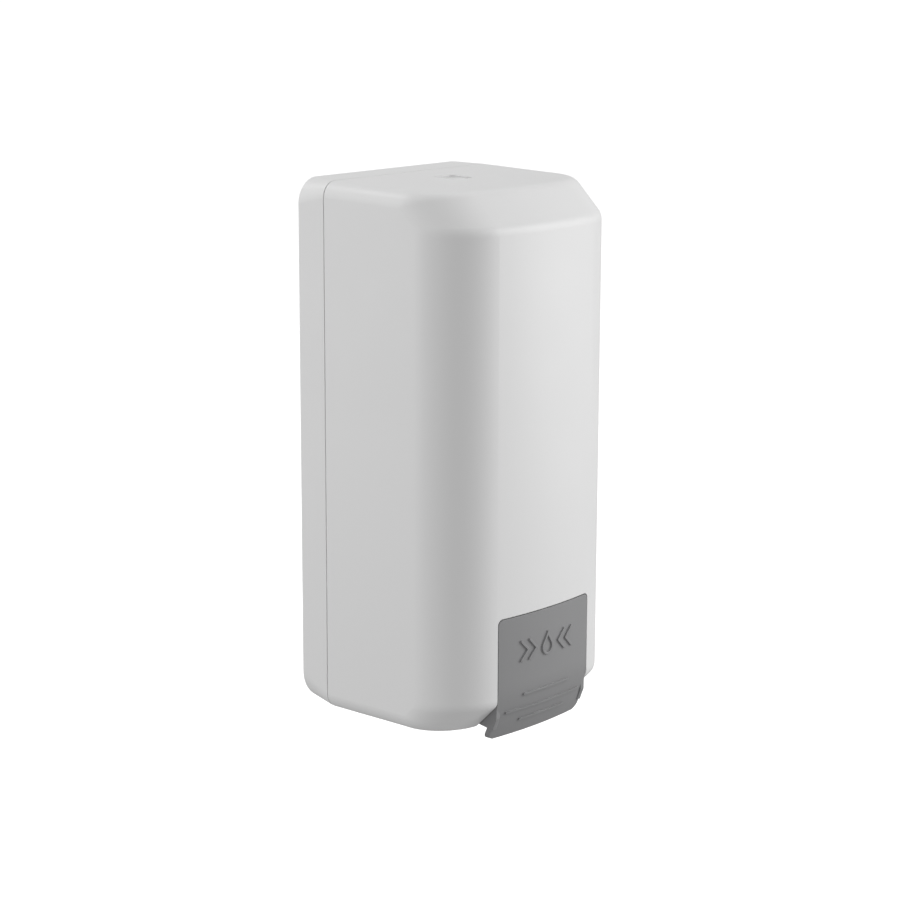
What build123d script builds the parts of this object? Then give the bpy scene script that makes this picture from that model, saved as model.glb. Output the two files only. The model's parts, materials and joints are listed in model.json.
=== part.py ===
from build123d import *
import os
from math import atan2, cos, radians, sin, sqrt, tan

# Wall-mounted soap dispenser, pressed by a lever across its lower front.
# Millimetres. +Z is up, the wall is the plane Y = 0 and the front faces -Y.
# The origin is the middle of the four wall screws, at half the housing's height.

# ---- housing -------------------------------------------------------------------------
HEIGHT = 270.0
WIDTH = 126.0
DEPTH = 110.0
WALL = 2.5
FLOOR = 3.0                  # the back plate's wall side
FRONT_BOW_R = 244.0          # plan radius of the bowed front
CORNER_R = 31.0              # upright front corners
SIDE_DRAFT = 0.75            # degrees, narrower towards the front
TOP_SLOPE = 1.4              # degrees, lower towards the front
TOP_CHAMFER_DEPTH = 18.0
TOP_CHAMFER_HEIGHT = 16.5
BOTTOM_CHAMFER = 15.0
CHAMFER_LINE_R = 6.0         # rounding where a chamfer meets the front
ROUNDING_STEPS = 5
EDGE_R = 8.0                 # rounding of the cover's top and bottom edges
WALL_TOP_R = 12.5            # the same edges where they meet the wall
WALL_BOTTOM_R = 17.0
SEAM = 17.0                  # from the wall to the edge of the back plate
SEAM_GAP = 0.4
LIP_CLEARANCE = 0.3
LIP_WALL = 1.5
LIP_REACH = 3.5              # the lip stands this far past the back plate's edge
LIP_START = 25.0             # the lip is left out this far up, where the hinge is

TOP = HEIGHT / 2
BOTTOM = -HEIGHT / 2

# ---- wall screws ---------------------------------------------------------------------
SCREW_INSET_X = 21.0         # from the housing's side to a screw
SCREW_INSET_Z = 35.0         # from its top or bottom
SCREW_SPACING_X = WIDTH - 2 * SCREW_INSET_X
SCREW_SPACING_Z = HEIGHT - 2 * SCREW_INSET_Z
SCREW_HOLE_R = 2.5
SCREW_BOSS_R = 7.0
BOSS_HEIGHT = 3.0
STIFFENER_W = 2.0
STIFFENER_X = 24.0           # three upright stiffeners, this far apart
STIFFENER_END = 50.0         # from the housing's top
STIFFENER_START = 70.0       # from its bottom
CROSS_STIFFENERS = (75.0, 175.0)   # down from the housing's top
CROSS_STIFFENER_LEN = 50.0

# ---- cover hinge ---------------------------------------------------------------------
HINGE_PIN_R = 1.0
HINGE_R = 3.0                # knuckles and lugs
HINGE_INSET = 25.0           # from the housing's side to the middle of a knuckle
HINGE_RISE = 2.1             # the axis over the housing's bottom
KNUCKLE_W = 10.0
LUG_W = 5.0
HINGE_SIDE_GAP = 0.3
HINGE_RADIAL_GAP = 0.4
RUNNING_FIT = 0.06
SEATED_FIT = 0.02
HINGE_Y = -SEAM - SEAM_GAP / 2
HINGE_Z = BOTTOM + HINGE_RISE
HINGE_X = WIDTH / 2 - HINGE_INSET
HINGE_WEB = 12.0             # how far a knuckle's web runs along the cover
GROOVE_INSET = 2.0           # the groove that lets the cover turn stops this far from the side
GROOVE_HALF_W = WIDTH / 2 - GROOVE_INSET

# ---- lever ---------------------------------------------------------------------------
LEVER_W = 69.0
LEVER_GAP = 0.45
LEVER_RISE = 58.3            # its top edge over the housing's bottom
LEVER_DROP = 4.6             # its foot below the housing's bottom
LEVER_TOP = BOTTOM + LEVER_RISE
LEVER_BOTTOM = BOTTOM - LEVER_DROP
LEVER_PLATE = 3.0
LEVER_CURL = 7.0             # how far the lower edge curls back
CURL_HEIGHT = 28.0
LEVER_TOP_CORNER = 3.0
LEVER_BOTTOM_CORNER = 4.0
CHEEK = 2.5
PIVOT_IN = 11.0              # the pivot behind the lever's face
PIVOT_DROP = 6.3             # and below its top edge
PIVOT_Y = -DEPTH + PIVOT_IN
PIVOT_Z = LEVER_TOP - PIVOT_DROP
PIVOT_PIN_R = 1.5
PIVOT_BOSS_R = 4.5
PIVOT_BOSS_IN = 1.5          # side gap between a cheek and its boss
PIVOT_BOSS_W = 6.0
CLIP_R = 3.2
CLIP_T = 0.8
SLOT_DEPTH = 65.0            # the cut-out runs this far back from the front
SLOT_BACK = DEPTH - SLOT_DEPTH
RAISED = 0.8                 # ribs and symbol stand this far out
RIB_H = 1.3
RIB_ROWS = ((21.8, 34.0), (14.0, 12.0), (8.0, 34.0))   # above the foot, and shorter than the lever
SYMBOL_DROP = 18.3
SYMBOL_Z = LEVER_TOP - SYMBOL_DROP
SYMBOL_STROKE = 1.2
CHEVRON_X = (11.0, 17.0)
CHEVRON_ARM = 7.0            # from end to end of one stroke
CHEVRON_LIFT = 2.5           # a stroke's middle from the symbol's middle line
DROP_R = 4.2
DROP_CENTRE = -1.4           # the drop's round end, below the symbol's middle
DROP_TIP = 6.6

# ---- tank ----------------------------------------------------------------------------
TANK_SIDE = 15.0             # from the housing's side to the tank's
TANK_BACK = -8.0
TANK_IN = 22.0               # from the housing's front to the tank's
TANK_RISE = 55.0
TANK_HEADROOM = 65.0
TANK_W = WIDTH - 2 * TANK_SIDE
TANK_FRONT = -DEPTH + TANK_IN
TANK_BASE = BOTTOM + TANK_RISE
TANK_TOP = TOP - TANK_HEADROOM
TANK_WALL = 2.0
TANK_CORNER = 14.0
TANK_EDGE_R = 5.0
NECK_R = 15.0
NECK_WALL = 3.0
NECK_BORE_R = NECK_R - NECK_WALL
NECK_LEN = 13.0
GASKET_T = 1.5
NUT_WALL = 4.0
NUT_R = NECK_R + NUT_WALL
NUT_LIP = 2.0
NUT_RIBS = 20
NUT_RIB_R = 0.9
FILLER_R = 28.0
FILLER_WALL = 2.5
FILLER_H = 8.0
FILLER_Y = (TANK_BACK + TANK_FRONT) / 2
SEAL_T = 1.2
LID_WALL = 2.7
LID_T = 2.8
LID_SKIRT = 7.0
LID_RUN = 0.3
GRIP = (26.0, 4.0, 4.0)      # length, width and height of the bar on the lid

# ---- pump ----------------------------------------------------------------------------
PORT_IN = 50.0               # inlet, outlet and tank neck share an upright line this far in
PORT_Y = -DEPTH + PORT_IN
BORE_R = 9.0
PUMP_WALL = 3.0
PUMP_R = BORE_R + PUMP_WALL
PUMP_FRONT = PORT_Y - NUT_R - 5.0   # so that the cap passes in front of the collar nut
PUMP_BACK = PORT_Y + 16.0
BORE_END = PUMP_BACK - 4.0
PISTON_FIT = 0.05
ROD_R = 6.0
PISTON_LEN = 8.0
PAD_R = 4.0                  # half-round pad on the lever
PAD_W = 14.0
PAD_GAP = 0.3
CAP_WALL = 1.5
CAP_R = PUMP_R + CAP_WALL
CAP_END = 4.0
CAP_SKIRT = 4.0
STEM_R = 9.0
FLANGE_R = NECK_R - 1.0
FLANGE_T = 3.0
BALL_R = 3.0
BALL_BORE_R = 4.2
SEAT_R = 2.2
SEAT_DEPTH = 2.0
BALL_CHAMBER = 6.5           # from the ball's seat down to the bore
NECK_END = TANK_BASE - NECK_LEN
FLANGE_TOP = NECK_END - GASKET_T
FLANGE_BASE = FLANGE_TOP - FLANGE_T
BALL_SEAT = FLANGE_TOP - SEAT_DEPTH
BORE_TOP = BALL_SEAT - BALL_CHAMBER
PUMP_Z = BORE_TOP - BORE_R
SPOUT_R = 6.5
SPOUT_HOLE_R = 3.0
SPOUT_LEN = 4.0
SPOUT_END = PUMP_Z - PUMP_R - SPOUT_LEN
VALVE_FLANGE = 1.5
NOZZLE_R = 8.0
NOZZLE_LEN = 9.0             # its tip below the spout
NOZZLE_TIP = SPOUT_END - NOZZLE_LEN
NOZZLE_TOP = PUMP_Z - PUMP_R - 0.3
NOZZLE_BORE_R = 4.4
NOZZLE_MOUTH_R = 3.2

# ---- bracket and its screws ----------------------------------------------------------
SHELF_T = 3.0
SHELF_IN = 8.0               # the shelf stops this far inside the tank's front and sides
SHELF_W = TANK_W - 2 * SHELF_IN
SHELF_FRONT = TANK_FRONT + SHELF_IN
NECK_GAP = 0.5
BRACKET_RISE = 15.0
BRACKET_FOOT = BOTTOM + BRACKET_RISE
GUSSET_IN = 8.0
GUSSET_X = SHELF_W / 2 - GUSSET_IN
GUSSET_T = 3.0
GUSSET_FRONT = SHELF_FRONT + 20.0
BRACKET_SCREW_X = GUSSET_X - 8.0
BRACKET_SCREW_Z = (TANK_BASE - 12.0, TANK_BASE - 32.0)
BRACKET_BOSS_R = 4.0
BRACKET_SCREW_R = 1.5
SCREW_PLAY = 0.2
HEAD_R = 3.0
HEAD_T = 2.2

# ---- lock ----------------------------------------------------------------------------
LOCK_Y = -46.0
WELL = 14.5
WELL_WALL = 2.5
WELL_FLOOR_TOP = TOP - 11.0
WELL_FLOOR = 2.0
WELL_FLANGE_W = 39.0
BUTTON = 10.6
BUTTON_GAP = 0.2
BUTTON_TOP = TOP - 1.9
BUTTON_FLANGE = 14.0
BUTTON_FLANGE_T = 1.7
BUTTON_STOP_GAP = 0.3
STEM_LEN = 8.0
LOCK_STEM_R = 3.0
HOOK_W = 10.0
HOOK_T = 2.0
HOOK_BACK = -21.5
TOOTH = 3.0
STRIKER_LIP = (-27.0, -25.0)
STRIKER_TAB_TOP = TOP - 6.0
STRIKER_LIP_END = TOP - 9.4
STRIKER_T = 2.0
STRIKER_FOOT = TOP - 30.0
STRIKER_W = 20.0
STRIKER_LIP_W = 12.0
STRIKER_SCREW_X = 6.0
STRIKER_SCREW_Z = TOP - 23.0
TOOTH_GAP = 0.3
CUP_WALL = 2.0
CUP_BASE = TOP - 27.0
CUP_BASE_T = 2.0
CUP_CLEARANCE = 0.5
EAR_X = 15.0
SMALL_SCREW_R = 1.2
SMALL_HEAD_R = 2.4
SMALL_HEAD_T = 1.8
SPRING_WIRE = 0.4
LOCK_SPRING_R = 4.2
PUMP_SPRING_WIRE = 0.6
PUMP_SPRING_R = BORE_R - 2.4


def front_y(x, inset=0.0):
    """Where the bowed front stands at x, or a surface that far inside it."""
    r = FRONT_BOW_R - inset
    return -DEPTH + inset + r - sqrt(r * r - x * x)


def top_z(y, inset=0.0):
    """Height of the sloped top at y."""
    return TOP - inset + y * tan(radians(TOP_SLOPE))


def front_outline(plane, shift, inset, back_y):
    """Plan outline of the cover: drafted sides, corner arcs, and a bow moved back by shift."""
    k = tan(radians(SIDE_DRAFT))
    n = sqrt(1 + k * k)
    w = WIDTH / 2 - inset
    rc = CORNER_R - inset
    rf = FRONT_BOW_R - inset
    bow_y = -DEPTH + inset + shift + rf
    # centre of the corner arc: tangent to the drafted side and to the bow
    c = w - rc * n
    qa = 1 + k * k
    qb = 2 * (c * k - bow_y)
    qc = c * c + bow_y * bow_y - (rf - rc) ** 2
    y = (-qb - sqrt(qb * qb - 4 * qa * qc)) / (2 * qa)
    centre = Vector(c + k * y, y)
    out = Vector(1 / n, -k / n)
    u = (centre - Vector(0, bow_y)).normalized()
    side = centre + out * rc
    front = centre + u * rc
    middle = centre + (out + u).normalized() * rc
    back = w + k * back_y

    def left(p):
        return (-p.X, p.Y)

    with BuildSketch(plane) as outline:
        with BuildLine():
            Line((-back, back_y), left(side))
            ThreePointArc(left(side), left(middle), left(front))
            ThreePointArc(left(front), (0, bow_y - rf), front)
            ThreePointArc(front, middle, side)
            Line(side, (back, back_y))
            Line((back, back_y), (-back, back_y))
        make_face()
    return outline.sketch


def rear_outline(depth, inset):
    """Upright outline of the back plate, depth away from the wall."""
    share = min(1, depth / SEAM)
    half = WIDTH / 2 - inset - depth * tan(radians(SIDE_DRAFT))
    z1 = top_z(-depth, inset)
    z0 = BOTTOM + inset
    rt = WALL_TOP_R + (EDGE_R - WALL_TOP_R) * share - inset
    rb = WALL_BOTTOM_R + (EDGE_R - WALL_BOTTOM_R) * share - inset
    with BuildSketch(Plane.XZ.offset(depth)) as outline:
        with BuildLine():
            Line((-half, z0 + rb), (-half, z1 - rt))
            TangentArc((-half, z1 - rt), (-half + rt, z1), tangent=(0, 1))
            Line((-half + rt, z1), (half - rt, z1))
            TangentArc((half - rt, z1), (half, z1 - rt), tangent=(1, 0))
            Line((half, z1 - rt), (half, z0 + rb))
            TangentArc((half, z0 + rb), (half - rb, z0), tangent=(0, -1))
            Line((half - rb, z0), (-half + rb, z0))
            TangentArc((-half + rb, z0), (-half, z0 + rb), tangent=(-1, 0))
        make_face()
    return outline.sketch


def rear_form(near, far, inset):
    """The back plate's rounded form between two depths, or the same form that far inside it."""
    with BuildPart() as form:
        loft([rear_outline(near, inset), rear_outline(far, inset)], ruled=True)
    return form.part


def rounded_line(z, up, depth, height, inset, back_y):
    """Outlines up through the rounding where a chamfer leaves the upright front, outermost first."""
    radius = CHAMFER_LINE_R - inset
    turn = atan2(depth, height)
    start = z - up * radius * tan(turn / 2)
    outlines = []
    for step in range(ROUNDING_STEPS + 1):
        angle = turn * step / ROUNDING_STEPS
        level = Plane.XY.offset(start + up * radius * sin(angle))
        outlines.append(front_outline(level, radius * (1 - cos(angle)), inset, back_y))
    return outlines


def cover_form(inset, back_y):
    """The whole rounded form of the cover, or the same form that far inside it."""
    top = TOP - inset
    bottom = BOTTOM + inset
    slope = Plane(origin=(0, 0, top), x_dir=(1, 0, 0), z_dir=(0, -tan(radians(TOP_SLOPE)), 1))
    line_top = TOP - TOP_CHAMFER_HEIGHT - DEPTH * tan(radians(TOP_SLOPE))
    line_bottom = BOTTOM + BOTTOM_CHAMFER
    upper = rounded_line(line_top, 1, TOP_CHAMFER_DEPTH, TOP_CHAMFER_HEIGHT, inset, back_y)
    lower = rounded_line(line_bottom, -1, BOTTOM_CHAMFER, BOTTOM_CHAMFER, inset, back_y)
    lid = front_outline(slope, TOP_CHAMFER_DEPTH, inset, back_y)
    base = front_outline(Plane.XY.offset(bottom), BOTTOM_CHAMFER, inset, back_y)
    with BuildPart() as form:
        loft([base, lower[-1]], ruled=True)
        loft(lower[::-1])
        loft([lower[0], upper[0]], ruled=True)
        loft(upper)
        loft([upper[-1], lid], ruled=True)
        for z, slant in ((top, tan(radians(TOP_SLOPE))), (bottom, 0)):
            rim = []
            for edge in form.edges():
                points = [edge @ 0, edge @ 0.5, edge @ 1]
                level = max(abs(p.Z - z - p.Y * slant) for p in points) < 0.02
                if level and min(p.Y for p in points) < back_y - 0.1:
                    rim.append(edge)
            fillet(rim, EDGE_R - inset)
    return form.part


def rear_ring(near, far, outer, inner):
    """A ring that follows the back plate's outline between two depths and two insets."""
    with BuildPart() as ring:
        add(rear_form(near, far, outer))
        add(rear_form(near, far, inner), mode=Mode.SUBTRACT)
    return ring.part


def finish(node, name):
    """Label a piece and write it."""
    node.part.label = name
    export_step(node.part, f"parts/{name}.step")


def on_x(x):
    """A sketch plane across X, with Y to its right and Z up."""
    return Plane(origin=(x, 0, 0), x_dir=(0, 1, 0), z_dir=(1, 0, 0))


def hinge_block(x, width, web_to):
    """One hinge knuckle or lug: an eye round the axis and a web along the housing's bottom."""
    with BuildPart() as block:
        with BuildSketch(on_x(x - width / 2)):
            with Locations((HINGE_Y, HINGE_Z)):
                Circle(HINGE_R)
            with Locations(((HINGE_Y + web_to) / 2, (BOTTOM + HINGE_Z + HINGE_R) / 2)):
                Rectangle(abs(web_to - HINGE_Y), HINGE_Z + HINGE_R - BOTTOM)
            with Locations((HINGE_Y, BOTTOM - HINGE_R)):
                Rectangle(4 * HINGE_R, 2 * HINGE_R, mode=Mode.SUBTRACT)
        extrude(amount=width)
    return block.part


def hinge_eye(x, width, radius):
    """A cylinder on the hinge axis, for clearances and pin holes."""
    with BuildPart() as eye:
        with BuildSketch(on_x(x - width / 2)):
            with Locations((HINGE_Y, HINGE_Z)):
                Circle(radius)
        extrude(amount=width)
    return eye.part


def turning_groove(side):
    """The wedge taken off one half's bottom edge, so that the cover can turn under the axis."""
    reach = HINGE_Z - BOTTOM + 1
    with BuildPart() as wedge:
        with BuildSketch(on_x(-GROOVE_HALF_W)):
            with BuildLine():
                Polyline((HINGE_Y, HINGE_Z), (HINGE_Y + side * reach, HINGE_Z - reach),
                         (HINGE_Y, HINGE_Z - reach), close=True)
            make_face()
        extrude(amount=2 * GROOVE_HALF_W)
    return wedge.part


LUG_X = [s * HINGE_X + t * (KNUCKLE_W / 2 + HINGE_SIDE_GAP + LUG_W / 2) for s in (-1, 1) for t in (-1, 1)]
KNUCKLE_X = [-HINGE_X, HINGE_X]
PIN_LEN = KNUCKLE_W + 2 * HINGE_SIDE_GAP + 2 * LUG_W
BRACKET_SCREWS = [(x * BRACKET_SCREW_X, z) for x in (-1, 1) for z in BRACKET_SCREW_Z]
STRIKER_SCREWS = [(x * STRIKER_SCREW_X, STRIKER_SCREW_Z) for x in (-1, 1)]
STIFFENER_LEN = HEIGHT - STIFFENER_START - STIFFENER_END
STIFFENER_Z = (STIFFENER_START - STIFFENER_END) / 2
BRACKET_BACK = -FLOOR - BOSS_HEIGHT
BRACKET_FACE = BRACKET_BACK - SHELF_T


def make_back_plate():
    with BuildPart() as back_plate:
        add(rear_form(0, SEAM, 0))
        add(rear_form(FLOOR, SEAM + 1, WALL), mode=Mode.SUBTRACT)
        # the lip that closes the seam from inside, above the hinge
        with BuildPart(mode=Mode.PRIVATE) as lip:
            add(rear_ring(SEAM / 2, SEAM - 0.5, WALL - 0.2, WALL + LIP_CLEARANCE + LIP_WALL))
            add(rear_ring(SEAM / 2, SEAM + LIP_REACH, WALL + LIP_CLEARANCE,
                          WALL + LIP_CLEARANCE + LIP_WALL))
            split(bisect_by=Plane.XY.offset(BOTTOM + LIP_START), keep=Keep.TOP)
        add(lip.part)
        # bosses and holes for the wall screws
        with BuildSketch(Plane.XZ.offset(FLOOR - 0.5)):
            with GridLocations(SCREW_SPACING_X, SCREW_SPACING_Z, 2, 2):
                Circle(SCREW_BOSS_R)
        extrude(amount=BOSS_HEIGHT + 0.5)
        with BuildSketch(Plane.XZ):
            with GridLocations(SCREW_SPACING_X, SCREW_SPACING_Z, 2, 2):
                Circle(SCREW_HOLE_R)
        extrude(amount=FLOOR + BOSS_HEIGHT, mode=Mode.SUBTRACT)
        # bosses for the bracket, and stiffening ribs up the middle
        with BuildSketch(Plane.XZ.offset(FLOOR - 0.5)):
            with Locations(*BRACKET_SCREWS):
                Circle(BRACKET_BOSS_R)
        extrude(amount=BOSS_HEIGHT + 0.5)
        with BuildSketch(Plane.XZ.offset(FLOOR - 0.5)):
            with Locations(*[(x, STIFFENER_Z) for x in (-STIFFENER_X, 0, STIFFENER_X)]):
                Rectangle(STIFFENER_W, STIFFENER_LEN)
            with Locations(*[(0, TOP - down) for down in CROSS_STIFFENERS]):
                Rectangle(CROSS_STIFFENER_LEN, STIFFENER_W)
        extrude(amount=BOSS_HEIGHT - 0.5)
        with BuildSketch(Plane.XZ.offset(1.2)):
            with Locations(*BRACKET_SCREWS):
                Circle(BRACKET_SCREW_R + SEATED_FIT)
            with Locations(*STRIKER_SCREWS):
                Circle(SMALL_SCREW_R + SEATED_FIT)
        extrude(amount=FLOOR + BOSS_HEIGHT, mode=Mode.SUBTRACT)
        # hinge
        add(turning_groove(1), mode=Mode.SUBTRACT)
        for x in LUG_X:
            add(hinge_block(x, LUG_W, -FLOOR))
        for x in KNUCKLE_X:
            add(hinge_eye(x, KNUCKLE_W + 2 * HINGE_SIDE_GAP, HINGE_R + HINGE_RADIAL_GAP), mode=Mode.SUBTRACT)
            add(hinge_eye(x, PIN_LEN, HINGE_PIN_R + SEATED_FIT), mode=Mode.SUBTRACT)
    finish(back_plate, "back_plate")


def make_front_cover():
    inner_y = LEVER_W / 2 + PIVOT_BOSS_IN
    boss_front = (front_y(inner_y, WALL) + front_y(inner_y + PIVOT_BOSS_W)) / 2
    slot_w = LEVER_W + 2 * LEVER_GAP
    with BuildPart() as front_cover:
        add(cover_form(0, -SEAM - SEAM_GAP))
        add(cover_form(WALL, -SEAM), mode=Mode.SUBTRACT)
        # cut-out for the lever and the nozzle
        with BuildSketch(Plane.XZ.offset(SLOT_BACK)):
            with Locations((0, (LEVER_TOP + LEVER_GAP + BOTTOM - 10) / 2)):
                RectangleRounded(slot_w, LEVER_TOP + LEVER_GAP - BOTTOM + 10, LEVER_TOP_CORNER)
        extrude(amount=DEPTH, mode=Mode.SUBTRACT)
        # the lever's pivot bosses
        for side in (-1, 1):
            with BuildSketch(on_x(side * (inner_y + PIVOT_BOSS_W / 2) - PIVOT_BOSS_W / 2)):
                with Locations((PIVOT_Y, PIVOT_Z)):
                    Circle(PIVOT_BOSS_R)
                with Locations(((PIVOT_Y + boss_front) / 2, PIVOT_Z)):
                    Rectangle(PIVOT_Y - boss_front, 2 * PIVOT_BOSS_R)
            extrude(amount=PIVOT_BOSS_W)
        with BuildSketch(on_x(-inner_y - PIVOT_BOSS_W)):
            with Locations((PIVOT_Y, PIVOT_Z)):
                Circle(PIVOT_PIN_R + SEATED_FIT)
        extrude(amount=2 * (inner_y + PIVOT_BOSS_W), mode=Mode.SUBTRACT)
        # the lock's well, its floor and the flange that the guide is screwed to
        with BuildSketch(Plane.XY.offset(WELL_FLOOR_TOP - WELL_FLOOR)):
            with Locations((0, LOCK_Y)):
                Rectangle(WELL + 2 * WELL_WALL, WELL + 2 * WELL_WALL)
        extrude(amount=top_z(LOCK_Y) - 1.2 - WELL_FLOOR_TOP + WELL_FLOOR)
        with BuildSketch(Plane.XY.offset(WELL_FLOOR_TOP - WELL_FLOOR)):
            with Locations((0, LOCK_Y)):
                RectangleRounded(WELL_FLANGE_W, WELL, 3)
        extrude(amount=WELL_FLOOR)
        with BuildSketch(Plane.XY.offset(WELL_FLOOR_TOP)):
            with Locations((0, LOCK_Y)):
                RectangleRounded(WELL, WELL, 2)
        extrude(amount=TOP, mode=Mode.SUBTRACT)
        with BuildSketch(Plane.XY.offset(WELL_FLOOR_TOP - WELL_FLOOR)):
            with Locations((0, LOCK_Y)):
                Rectangle(BUTTON + 2 * BUTTON_GAP, BUTTON + 2 * BUTTON_GAP)
            with Locations((-EAR_X, LOCK_Y), (EAR_X, LOCK_Y)):
                Circle(SMALL_SCREW_R + SEATED_FIT)
        extrude(amount=WELL_FLOOR, mode=Mode.SUBTRACT)
        # hinge
        add(turning_groove(-1), mode=Mode.SUBTRACT)
        for x in LUG_X:
            add(hinge_eye(x, LUG_W + 2 * HINGE_SIDE_GAP, HINGE_R + HINGE_RADIAL_GAP), mode=Mode.SUBTRACT)
        for x in KNUCKLE_X:
            add(hinge_block(x, KNUCKLE_W, HINGE_Y - HINGE_WEB))
            add(hinge_eye(x, KNUCKLE_W, HINGE_PIN_R + RUNNING_FIT), mode=Mode.SUBTRACT)
    finish(front_cover, "front_cover")


def make_hinge_pins():
    with BuildPart() as hinge_pins:
        for x in KNUCKLE_X:
            add(hinge_eye(x, PIN_LEN, HINGE_PIN_R))
    finish(hinge_pins, "hinge_pins")


def symbol_strokes():
    """A drop between two pairs of chevrons, as one thin-stroke sketch on the front plane."""
    with BuildSketch(Plane.XZ.offset(DEPTH - 8)) as strokes:
        for side in (-1, 1):
            for x in CHEVRON_X:
                for half in (-1, 1):
                    with Locations((side * x, SYMBOL_Z + CHEVRON_LIFT * half)):
                        SlotCenterToCenter(CHEVRON_ARM, SYMBOL_STROKE, rotation=45 * side * half)
        # the drop: a round end and two straight sides up to its tip, outside and inside its stroke
        for inset, mode in ((0, Mode.ADD), (SYMBOL_STROKE, Mode.SUBTRACT)):
            radius = DROP_R - inset
            tip = (0, SYMBOL_Z + DROP_TIP - 2 * inset)
            side_x = radius * cos(radians(30))
            side_z = SYMBOL_Z + DROP_CENTRE + radius * sin(radians(30))
            with BuildLine():
                CenterArc((0, SYMBOL_Z + DROP_CENTRE), radius, 150, 240)
                Line((-side_x, side_z), tip)
                Line(tip, (side_x, side_z))
            make_face(mode=mode)
    return strokes.sketch


def lever_skin(proud, thickness):
    """The lever's bowed plate: its upright profile, curled back at the foot, turned about the bow's axis."""
    face = -DEPTH - proud
    start = LEVER_BOTTOM + CURL_HEIGHT
    radius = (LEVER_CURL ** 2 + CURL_HEIGHT ** 2) / (2 * LEVER_CURL)
    bow_axis = Axis((0, FRONT_BOW_R - DEPTH, 0), (0, 0, 1))
    end_y = face + LEVER_CURL
    lean = 2 * LEVER_CURL / CURL_HEIGHT
    back = Vector(1, lean * 0.5).normalized() * thickness
    half_turn = 10
    with BuildPart() as skin:
        with BuildSketch(on_x(0)):
            with BuildLine():
                Line((face + thickness, LEVER_TOP), (face, LEVER_TOP))
                Line((face, LEVER_TOP), (face, start))
                outside = RadiusArc((face, start), (end_y, LEVER_BOTTOM), -radius)
                Line(outside @ 1, (end_y + back.X, LEVER_BOTTOM + back.Y))
                RadiusArc((end_y + back.X, LEVER_BOTTOM + back.Y), (face + thickness, start),
                          radius - thickness)
                Line((face + thickness, start), (face + thickness, LEVER_TOP))
            make_face()
        revolve(axis=bow_axis, revolution_arc=2 * half_turn)
    return skin.part.rotate(bow_axis, -half_turn)


def make_push_lever():
    cheek_out = LEVER_W / 2
    height = LEVER_TOP - LEVER_BOTTOM
    middle_z = (LEVER_TOP + LEVER_BOTTOM) / 2
    ear_x = cheek_out + 3.5
    plate_back = -DEPTH + LEVER_PLATE
    pad_y = plate_back - 0.5
    with BuildPart() as outline:
        with BuildSketch(Plane.XZ.offset(SLOT_BACK)):
            with Locations((0, middle_z)):
                Rectangle(LEVER_W, height)
        extrude(amount=DEPTH)
        fillet(edges().filter_by(Axis.Y).group_by(Axis.Z)[-1], LEVER_TOP_CORNER)
        fillet(edges().filter_by(Axis.Y).group_by(Axis.Z)[0], LEVER_BOTTOM_CORNER)
    with BuildPart() as push_lever:
        add(lever_skin(0, LEVER_PLATE))
        add(outline.part, mode=Mode.INTERSECT)
        # cheeks, each with the pivot's eye
        for side in (-1, 1):
            with BuildSketch(on_x(side * (cheek_out - CHEEK / 2) - CHEEK / 2)):
                with BuildLine():
                    Polyline((plate_back - 0.2, LEVER_TOP - 3), (PIVOT_Y, LEVER_TOP - 3),
                             (PIVOT_Y + 9, PIVOT_Z - 6), (PIVOT_Y + 9, LEVER_BOTTOM + 12),
                             (PIVOT_Y + 7, LEVER_BOTTOM + 7.8), (plate_back + 3, LEVER_BOTTOM + 5.8),
                             (plate_back + 0.6, LEVER_BOTTOM + 12), close=True)
                make_face()
                with Locations((PIVOT_Y, PIVOT_Z)):
                    Circle(PIVOT_BOSS_R)
            extrude(amount=CHEEK)
        # ears that rest behind the cover beside the cut-out
        ear_front = front_y(ear_x, WALL) + PAD_GAP
        for side in (-1, 1):
            with BuildSketch(Plane.XZ.offset(-ear_front - 3)):
                with Locations((side * (cheek_out - 1 + ear_x) / 2, PUMP_Z + 3)):
                    Rectangle(ear_x - cheek_out + 1, 6)
            extrude(amount=3)
        # stiffening rib and the half-round pad that pushes the piston
        with BuildSketch(on_x(-PAD_W / 2)):
            with Locations((pad_y, PUMP_Z)):
                Circle(PAD_R)
            with Locations((plate_back - 1 - PAD_R, PUMP_Z)):
                Rectangle(2 * PAD_R, 2 * PAD_R, mode=Mode.SUBTRACT)
        extrude(amount=PAD_W)
        with BuildSketch(Plane.XZ.offset(-plate_back + 0.4)):
            with Locations((0, PUMP_Z + 14)):
                Rectangle(LEVER_W - 1.5 * CHEEK, 1.8)
        extrude(amount=-3.2)
        with BuildSketch(on_x(-LEVER_W)):
            with Locations((PIVOT_Y, PIVOT_Z)):
                Circle(PIVOT_PIN_R + RUNNING_FIT)
        extrude(amount=2 * LEVER_W, mode=Mode.SUBTRACT)
        # raised ribs and symbol, standing out by the same height all along the curve
        with BuildPart(mode=Mode.PRIVATE) as raised:
            with BuildSketch(Plane.XZ.offset(DEPTH - 12)):
                for rise, shorter in RIB_ROWS:
                    with Locations((0, LEVER_BOTTOM + rise)):
                        SlotOverall(LEVER_W - shorter, RIB_H)
            extrude(amount=30)
            add(extrude(symbol_strokes(), amount=30, mode=Mode.PRIVATE))
            add(lever_skin(RAISED, 2 * RAISED), mode=Mode.INTERSECT)
        add(raised.part)
    finish(push_lever, "push_lever")


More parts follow.
